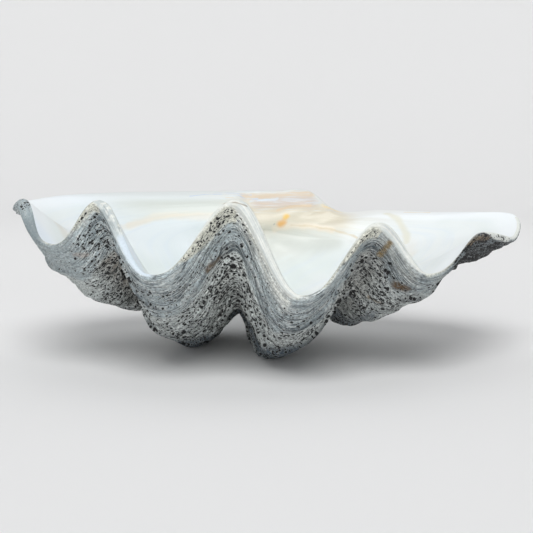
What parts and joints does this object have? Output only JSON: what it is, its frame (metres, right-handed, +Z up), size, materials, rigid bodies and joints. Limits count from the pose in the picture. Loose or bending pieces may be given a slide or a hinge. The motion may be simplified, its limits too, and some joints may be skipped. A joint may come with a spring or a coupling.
{
  "type": "giant clam shell",
  "caption": "Single valve of a giant clam lying cup up, a thick bowl with a deeply folded front margin, a bored and ledged outside and a glossy white inside.",
  "frame": {"origin": "on the ground under the middle of the valve as it lies cup up on the bellies of its ribs", "axes": "+X along the valve's length, to the right as seen from the folded front margin; +Y towards the hinge at the back; +Z up"},
  "size_m": [0.6098, 0.4213, 0.2017],
  "materials": {
    "shell": "rough bored grey outside, cream rim, glossy porcelain white inside"
  },
  "bodies": {
    "root": {"clam_shell": "shell"}
  },
  "joints": []
}
